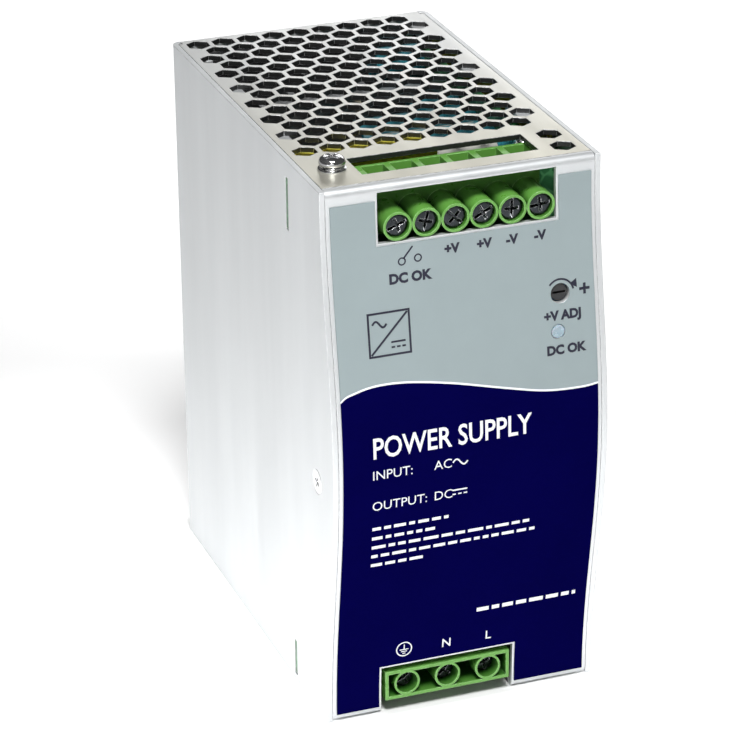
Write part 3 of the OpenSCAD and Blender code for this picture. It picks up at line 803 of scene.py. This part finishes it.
# ------------------------------------------------------------------ spring
SPRING_Y = BRACKET_FACE + 0.9
SPRING_R, SPRING_WIRE, SPRING_TURNS = 1.6, 0.25, 8
SPRING_FOOT, SPRING_RISE = 14, 13.5
coils = Shape()
helix = []
for k in range(SPRING_TURNS * 20 + 1):
    share = k / (SPRING_TURNS * 20)
    # The end turns lie flat, as on a ground compression spring
    rise = (share - math.sin(4 * math.pi * share) / (4 * math.pi) * 0.5)
    angle = 2 * math.pi * SPRING_TURNS * share
    helix.append((SPRING_R * math.cos(angle), SPRING_Y + FRONT_Y + SPRING_R * math.sin(angle),
                  SPRING_FOOT + SPRING_WIRE + SPRING_RISE * rise))
coils.tube(helix, SPRING_WIRE, 8)
spring = coils.build("latch_coils", SLOTS["bright_screw"], "bright_screw")
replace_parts(spring, "latch_spring")
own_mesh(spring)

# ------------------------------------------------- black insulation liner, also painted shade inside, and the boards
# A black film lines the left wall and the back: insulation, and painted shade that keeps the inside dark
# behind the vents
liner = Shape()
liner.box((-30.25, 23.2 + FRONT_Y, 3.2), (-29.95, 99.4 + FRONT_Y, 122.2), 0.05)
liner.box((-29.4, 100.45 + FRONT_Y, 3.2), (28.6, 100.75 + FRONT_Y, 122.2), 0.05)
liner.build("inner_shade_liner", SLOTS["black_plastic"], "black_plastic")


def to_board(x, y, z, spin=0.0):
    """A part that stands on the main board and points to -X."""
    return facing(x, y, z, (-1, 0, 0), spin)


# Can capacitors: a shrunk sleeve over a crimped can, with a scored top
def can_capacitors(label, places, r, height, finish, node_name):
    sleeve, top, stripe = Shape(), Shape(), Shape()
    for y, z in places:
        where = to_board(MAIN_X, y, z, random.uniform(0, math.pi))
        lip = r * 0.1
        one = Shape().turned([(0, 0.25), (r - 1.2, 0.25), (r - 0.5, 0.05), (r - 0.1, 0.4), (r, 0.9), (r, 2.0),
                              (r - 0.35, 2.4), (r - 0.45, 2.7), (r - 0.35, 3.0), (r, 3.4), (r, height - 0.7),
                              (r - 0.15, height - 0.25), (r - 0.5, height - 0.02),
                              (r - lip - 0.5, height - 0.02), (r - lip - 0.5, height - 0.35),
                              (0, height - 0.35)])
        sleeve.join(one, where)
        vent = cross_outline(r * 0.62, r * 0.62, 0.16)
        one = Shape().turned([(r - lip - 0.5, height - 0.12), (r - lip - 0.5, height - 0.5),
                              (0, height - 0.5)])
        one.recessed(r - lip - 0.5, height - 0.12, 0.0, vent, 0.18, 0.9)
        top.join(one, where)
        arc = [k * 0.16 - 0.4 for k in range(6)]
        outer = [((r + 0.04) * math.cos(a), (r + 0.04) * math.sin(a)) for a in arc]
        inner = [((r - 0.1) * math.cos(a), (r - 0.1) * math.sin(a)) for a in reversed(arc)]
        section = outer + inner
        n = len(section)
        points = [(x, yy, zz) for zz in (4.0, height - 1.2) for x, yy in section]
        faces = [(k, (k + 1) % n, n + (k + 1) % n, n + k) for k in range(n)]
        faces += [tuple(reversed(range(n))), tuple(range(n, 2 * n))]
        stripe.join(Shape().add(points, faces), where)
    made = sleeve.build(label + "_sleeves", finish, "can_sleeve")
    top.build(label + "_tops", SLOTS["heatsink_metal"], "heatsink_metal")
    stripe.build(label + "_stripes", SLOTS["grey_plastic"], "grey_plastic")
    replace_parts(made, node_name)


TEAL_SLEEVE = material("teal_sleeve", (0.02, 0.16, 0.20), 0.3, grain=120.0, coat=0.4)
can_capacitors("bulk_can", [(62, 16.6), (86, 16.6)], r=11.0, height=40.0,
               finish=SLOTS["can_sleeve"], node_name="bulk_capacitors")
can_capacitors("output_can", [(34, 113), (45, 113), (56, 113)], r=5.0, height=28.0,
               finish=TEAL_SLEEVE, node_name="output_capacitors")


# Chokes: enamelled wire round a coated ring
def wound_ring(label, y, z, r, wires, wire_r, node_name):
    core, wire = Shape(), Shape()
    depth = MAIN_X - 12.0
    half, middle, thick = depth / 2 - 1.5, (r + 5) / 2, (r - 5) / 2 - 1.3
    section = [(math.copysign(abs(math.cos(a)) ** 0.5, math.cos(a)),
                math.copysign(abs(math.sin(a)) ** 0.5, math.sin(a)))
               for a in (2 * math.pi * (k + 0.5) / 16 for k in range(16))]
    core.turned([(middle + thick * u, half * v) for u, v in section + section[:1]])
    gap = 0.35
    turns_line = []
    per_turn = 16
    total = wires * per_turn
    for k in range(total + 1):
        u, v = section[k % 16]
        around = gap + (2 * math.pi - 2 * gap) * k / total
        radius = middle + (thick + wire_r) * u
        turns_line.append((radius * math.cos(around), radius * math.sin(around), (half + wire_r) * v))
    wire.tube(turns_line, wire_r, 6)
    where = to_board(MAIN_X - depth / 2, y, z, 0.6)
    core.moved(where)
    wire.moved(where)
    made = core.build(label + "_core", SLOTS["ferrite"], "ferrite")
    wire.build(label + "_wire", SLOTS["copper_winding"], "copper_winding")
    legs = Shape()
    for s in (-1, 1):
        legs.tube([(s * 2.5, r * 0.75, -half), (s * 2.5, r * 0.8, -depth / 2)], 0.45, 8)
    legs.moved(where)
    legs.build(label + "_legs", SLOTS["contact_metal"], "contact_metal")
    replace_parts(made, node_name)


wound_ring("output_choke", 50, 95.6, r=12.0, wires=22, wire_r=0.62, node_name="output_choke")
wound_ring("emi_choke", 38.6, 17.2, r=11.0, wires=18, wire_r=0.7, node_name="emi_choke")


# Transformer winding: layers of tape round the bobbin, with a bulging side
def rounded_loop(half_x, half_y, corner, steps=6):
    loop = []
    for cx, cy, start in ((1, 1, 0), (-1, 1, 90), (-1, -1, 180), (1, -1, 270)):
        for k in range(steps + 1):
            a = math.radians(start + 90 * k / steps)
            loop.append((cx * (half_x - corner) + corner * math.cos(a),
                         cy * (half_y - corner) + corner * math.sin(a)))
    return loop


def tape_winding():
    """The tape's edge steps up and down a little between its bands."""
    made = Shape()
    profile = [(-0.5, -13.3), (-0.12, -13.2), (0.0, -12.4), (0.0, -4.8), (-0.18, -4.6), (-0.18, 4.2),
               (0.0, 4.4), (0.0, 12.4), (-0.12, 13.2), (-0.5, 13.3)]
    loops = [[(x, y, z) for x, y in rounded_loop(12.9 + off, 14.0 + off, 4.0)] for off, z in profile]
    inner = rounded_loop(9.35, 8.35, 1.2)
    loops += [[(x, y, 13.3) for x, y in inner], [(x, y, -13.3) for x, y in inner]]
    n = len(loops[0])
    faces = []
    for a in range(len(loops)):
        b = (a + 1) % len(loops)
        faces += [(a * n + k, a * n + (k + 1) % n, b * n + (k + 1) % n, b * n + k) for k in range(n)]
    made.add([p for loop in loops for p in loop], faces)
    made.moved(Matrix.Translation((4, 48 + FRONT_Y, 62)))
    return made.build("winding_tape", TAPE, "copper_winding")


TAPE = material("winding_tape", (0.62, 0.47, 0.06), 0.32, vary=0.05, coat=0.4, wear_and_highlight=(0.8, 0.7, 0.3))
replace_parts(tape_winding(), "transformer_winding")

# ------------------------------------------------------ small board parts
RESISTOR = material("resistor_body", (0.35, 0.50, 0.58), 0.4, grain=300.0)
CERAMIC = material("ceramic_disc", (0.08, 0.22, 0.50), 0.4, grain=300.0)
MYLAR = material("film_block", (0.38, 0.05, 0.03), 0.35, grain=200.0, coat=0.3)


def resistor(length, r):
    """An axial part that lies on its leads, with its ends thicker than its waist."""
    body = Shape().turned([(0, 0), (r * 0.7, 0.05), (r, 0.4), (r, 1.1), (r * 0.86, 1.5),
                           (r * 0.86, length - 1.5), (r, length - 1.1), (r, length - 0.4),
                           (r * 0.7, length - 0.05), (0, length)], 16)
    lay = Matrix.Translation((-length / 2, 0, r + 0.3)) @ Matrix.Rotation(math.radians(90), 4, "Y")
    return body.moved(lay)


def leads(span, lift):
    wire = Shape()
    for s in (-1, 1):
        wire.tube([(s * (span / 2 - 1.6), 0, lift), (s * (span / 2 - 0.5), 0, lift),
                   (s * span / 2, 0, lift - 0.5), (s * span / 2, 0, -0.2)], 0.3, 6)
    return wire


def disc(r, thick):
    """A dipped disc that stands on its edge."""
    edge = r * 0.96
    body = Shape().turned([(0, -thick / 2), (r * 0.8, -thick / 2), (edge, -thick * 0.28), (r, 0),
                           (edge, thick * 0.28), (r * 0.8, thick / 2), (0, thick / 2)], 20)
    return body.moved(Matrix.Translation((0, 0, r + 1.2)) @ Matrix.Rotation(math.radians(90), 4, "X"))


def can(r, height):
    return Shape().turned([(0, 0.2), (r - 0.3, 0.2), (r, 0.6), (r, 1.2), (r - 0.25, 1.5), (r, 1.8),
                           (r, height - 0.4), (r - 0.3, height), (r - 0.9, height - 0.05),
                           (r - 0.9, height - 0.2), (0, height - 0.2)], 20)


def chip(width, length, height, pins):
    body = Shape().box((-width / 2, -length / 2, 0.3), (width / 2, length / 2, height), 0.12)
    legs = Shape()
    for k in range(pins):
        y = (k - (pins - 1) / 2) * length / pins
        for s in (-1, 1):
            foot = s * (width / 2 + 0.45)
            legs.box((foot - 0.45, y - 0.2, 0.0), (foot + 0.45, y + 0.2, 0.2))
            legs.box((s * width / 2 - 0.1, y - 0.2, 0.0), (s * width / 2 + 0.1, y + 0.2, 0.8))
    return body, legs


BINS = {"cans": (Shape(), "can_sleeve", TEAL_SLEEVE), "resistors": (Shape(), "grey_plastic", RESISTOR),
        "discs": (Shape(), "blue_plastic", CERAMIC), "blocks": (Shape(), "grey_plastic", MYLAR),
        "chips": (Shape(), "black_plastic", SLOTS["black_plastic"]),
        "leads": (Shape(), "contact_metal", SLOTS["contact_metal"])}


def fit(kind, shape, where):
    BINS[kind][0].join(shape, where)


def fit_chip(where, *size):
    body, legs = chip(*size)
    fit("chips", body, where)
    fit("leads", legs, where)


# The rear strip of the main board, and the gaps between its big parts
for z in (106, 98, 46, 38):
    where = to_board(MAIN_X, 92, z, math.radians(90))
    fit("resistors", resistor(8, 1.3), where)
    fit("leads", leads(11, 1.6), where)
# Each small can: depth and height of its place on the board, radius, length
SMALL_CANS = [(89, 118, 4.0, 12), (79, 76, 4.0, 11), (90, 62, 5.0, 16), (31, 76, 4.0, 11),
              (66, 104, 4.0, 12), (66, 114, 4.0, 12)]
for y, z, r, h in SMALL_CANS:
    fit("cans", can(r, h), to_board(MAIN_X, y, z))
for y, z in ((92, 84), (92, 74), (31, 52), (68, 92)):
    where = to_board(MAIN_X, y, z, math.radians(30))
    fit("discs", disc(3.6, 2.6), where)
    fit("leads", leads(4.4, 2.2), where)
for y, z in ((31, 66), (62, 34), (90, 52)):
    fit("blocks", Shape().box((-3.2, -5.2, 0.2), (3.2, 5.2, 8.4), 0.6), to_board(MAIN_X, y, z))
for y, z in ((33, 103.5), (93, 30)):
    fit_chip(to_board(MAIN_X, y, z), 4.0, 5.0, 1.9, 4)

# The control board: a regulator, its resistors and two small capacitors, facing the case's inside
CONTROL_FRONT = 8.0
for x, z in ((15.5, 98), (15.5, 91), (15.5, 84)):
    fit_chip(facing(x, CONTROL_FRONT, z, (0, -1, 0)), 4.0, 5.0, 1.7, 4)
for x, z in ((24.5, 101.6), (20.0, 101.6), (26.2, 86.5)):
    fit("discs", disc(1.5, 1.3), facing(x, CONTROL_FRONT, z, (0, -1, 0), 0.3))

# The input board: a surge disc and a line filter capacitor beside the fuse
INPUT_BACK = 21.8
for x, z, r in ((-19, 12, 4.2), (4.5, 26, 4.2)):
    fit("discs", disc(r, 3.2), facing(x, INPUT_BACK, z, (0, 1, 0), 0.2))
fit("blocks", Shape().box((-6, -3, 0.2), (6, 3, 8.5), 0.7), facing(-12, INPUT_BACK, 30.3, (0, 1, 0)))

# The output board: current sense resistors and pins soldered from the terminals
for i in range(4):
    where = facing(-22 + 9.5 * i, INPUT_BACK, 92.5, (0, 1, 0), math.radians(90))
    fit("resistors", resistor(7, 1.2), where)
    fit("leads", leads(10, 1.5), where)
SOLDER_CONE = [(0, 1.3), (0.35, 1.25), (0.75, 0.6), (1.3, 0.05), (1.3, -0.05), (0, -0.05)]
for x, up in [(OUTPUT_X + (i - 2.5) * OUTPUT_PITCH, OUTPUT_Z - 3.4) for i in range(6)] + [
        (INPUT_X + (i - 1) * INPUT_PITCH, INPUT_Z + 3.4) for i in range(3)]:
    fit("leads", Shape().turned(SOLDER_CONE, 12), facing(x, INPUT_BACK, up, (0, 1, 0)))

for kind, (shape, slot_name, finish) in BINS.items():
    shape.build("board_" + kind, finish, slot_name)

# Transistors: a moulded body on a metal tab, with three bent leads into the main board
tabs, leg_wires = Shape(), Shape()
for face_y, rows in ((69.7, (33, 52)), (67.7, (84, 102))):
    for z in rows:
        tabs.box((3.2, face_y + 3.0 + FRONT_Y, z + 1), (4.4, face_y + 4.25 + FRONT_Y, z + 14), 0.1)
        for k in (-2.54, 0, 2.54):
            leg_z = z + 7.5 + k
            leg_wires.tube([(19.5, face_y + 2.2 + FRONT_Y, leg_z), (22.2, face_y + 2.2 + FRONT_Y, leg_z),
                            (23.0, face_y + 1.4 + FRONT_Y, leg_z), (25.1, face_y + 1.2 + FRONT_Y, leg_z)],
                           0.35, 6)
tabs.build("transistor_tabs", SLOTS["contact_metal"], "contact_metal")
leg_wires.build("transistor_leads", SLOTS["contact_metal"], "contact_metal")

# ------------------------------------------------------- camera and studio
AZIMUTH = math.radians(-20.10)
ELEVATION = math.radians(24.50)
ROLL = math.radians(-0.58)
TARGET = Vector((-3.0, -0.45, 60.1)) * MM
DISTANCE = 0.7666
LENS = 164.45

back = Vector((math.sin(AZIMUTH) * math.cos(ELEVATION), -math.cos(AZIMUTH) * math.cos(ELEVATION),
               math.sin(ELEVATION)))
level = (-back).cross(Z_AXIS).normalized()
upright = level.cross(-back)
right = level * math.cos(ROLL) + upright * math.sin(ROLL)
up = upright * math.cos(ROLL) - level * math.sin(ROLL)
lens = bpy.data.cameras.new("camera")
lens.lens = LENS
lens.sensor_width = 36
lens.clip_start = 0.01
lens.clip_end = 50
camera = bpy.data.objects.new("camera", lens)
camera_turn = Matrix((right, up, back)).transposed().to_4x4()
camera.matrix_world = Matrix.Translation(TARGET + back * DISTANCE) @ camera_turn
bpy.context.scene.collection.objects.link(camera)
bpy.context.scene.camera = camera


def softbox(name, place_at, look_at, size, power, colour=(1, 1, 1)):
    data = bpy.data.lights.new(name, "AREA")
    data.shape = "RECTANGLE"
    data.size, data.size_y = size
    data.energy = power
    data.color = colour
    lamp = bpy.data.objects.new(name, data)
    lamp.location = place_at
    lamp.rotation_mode = "QUATERNION"
    lamp.rotation_quaternion = (Vector(place_at) - Vector(look_at)).to_track_quat("Z", "Y")
    bpy.context.scene.collection.objects.link(lamp)


CENTRE = (0, 0, 0.06)
softbox("key", (-0.12, -0.42, 0.86), CENTRE, (0.25, 0.25), 9.0)
softbox("fill", (-0.45, -1.10, 0.45), CENTRE, (0.6, 0.6), 1.2)
softbox("side", (-0.30, -0.26, 0.08), (-0.03, -0.03, 0.04), (0.16, 0.14), 0.1)
softbox("rim", (0.20, 0.30, 0.26), (0, 0, 0.12), (0.30, 0.10), 0.22)

world = bpy.data.worlds.new("studio")
bpy.context.scene.world = world
world.use_nodes = True
sky = world.node_tree
background = sky.nodes["Background"]
background.inputs["Strength"].default_value = 0.08
direction = sky.nodes.new("ShaderNodeTexCoord")
shade = spread(sky, parts_of(sky, direction.outputs["Generated"])["Z"], 0, 1, -0.2, 0.9)
sky.links.new(mix(sky, shade, (1.0, 1.0, 1.0), (0.72, 0.73, 0.75)), background.inputs["Color"])


def paper_glow(tree, strength):
    """The paper glows, most of all beside the left wall and far behind, but not under the case."""
    pools = []
    for centre, extra, near, far in GLOWS:
        away = tree.nodes.new("ShaderNodeVectorMath")
        away.operation = "DISTANCE"
        tree.links.new(place(tree), away.inputs[0])
        away.inputs[1].default_value = centre
        pools.append(spread(tree, away.outputs["Value"], strength / 2 + extra, strength / 2, near, far))
    spot = parts_of(tree, place(tree))
    sides = []
    for axis, near, far in UNDER_CASE:
        away = maths(tree, "ABSOLUTE", spot[axis])
        sides.append(spread(tree, away, 0.0, 1.0, near, far))
    clear = maths(tree, "MAXIMUM", *sides)
    return maths(tree, "MULTIPLY", clear, maths(tree, "ADD", *pools))


REACH = 3.0
FLOOR_GAP = 0.0001
FAINT_GLOW = 0.15
# From the middle out, where the paper starts to glow and where it glows fully
UNDER_CASE = [("X", 0.028, 0.034), ("Y", 0.051, 0.057)]
# Each pool of light on the paper: [centre, strength, radius of its core, radius where it ends]
GLOWS = [((-0.14, -0.10, 0.0), 1.1, 0.03, 0.28), ((0.22, 0.45, 0.0), 0.6, 0.2, 0.4)]
floor_mesh = bpy.data.meshes.new("floor")
floor_mesh.from_pydata([(-REACH, -REACH, 0), (REACH, -REACH, 0), (REACH, REACH, 0), (-REACH, REACH, 0)],
                       [], [(0, 1, 2, 3)])
floor = bpy.data.objects.new("floor", floor_mesh)
floor.location.z = -FLOOR_GAP
bpy.context.scene.collection.objects.link(floor)
paper = bpy.data.materials.new("floor_paper")
paper.use_nodes = True
paper_shader = paper.node_tree.nodes["Principled BSDF"]
paper_shader.inputs["Base Color"].default_value = (0.93, 0.93, 0.93, 1)
paper_shader.inputs["Roughness"].default_value = 0.9
paper_shader.inputs["Emission Color"].default_value = (1, 1, 1, 1)
glow = paper_glow(paper.node_tree, FAINT_GLOW)
paper.node_tree.links.new(glow, paper_shader.inputs["Emission Strength"])
floor_mesh.materials.append(paper)

bpy.context.scene.view_settings.view_transform = "Standard"
